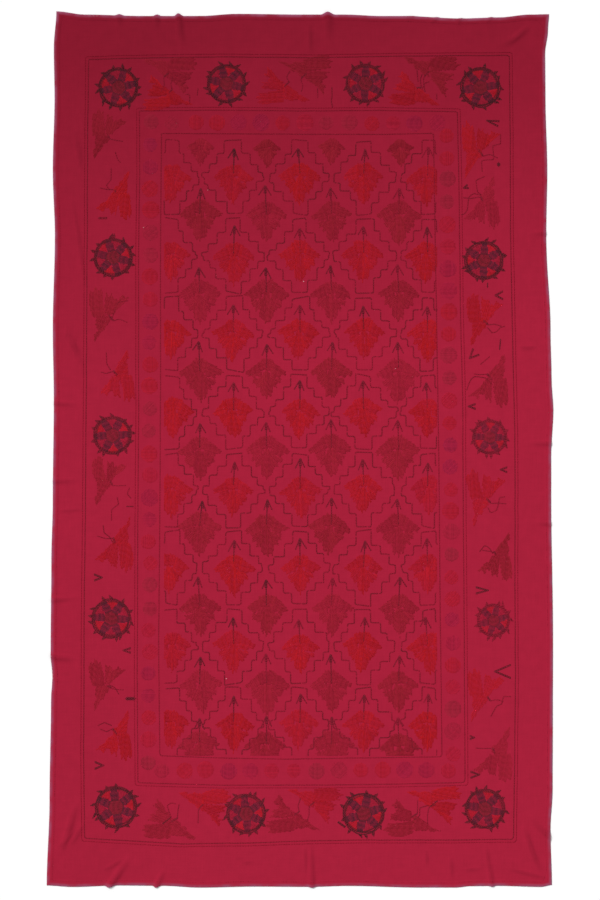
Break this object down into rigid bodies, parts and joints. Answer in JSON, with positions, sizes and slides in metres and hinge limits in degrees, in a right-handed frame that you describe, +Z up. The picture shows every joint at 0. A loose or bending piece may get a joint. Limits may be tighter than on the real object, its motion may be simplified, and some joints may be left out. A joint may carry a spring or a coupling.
{
  "type": "suzani embroidered textile",
  "caption": "Rectangular embroidered cotton hanging or bed cover with a hemmed edge, a border of rosettes and flowers and a field of flowers in a stepped lattice, lying flat.",
  "frame": {"origin": "centre of the cloth's bounding box, at the surface it lies on", "axes": "+Y towards the head of the design, +Z up out of the embroidered face"},
  "size_m": [1.4177, 2.4534, 0.009],
  "materials": {
    "crimson_cotton": "matte"
  },
  "bodies": {
    "root": {"ground_cloth": "crimson_cotton"}
  },
  "joints": []
}
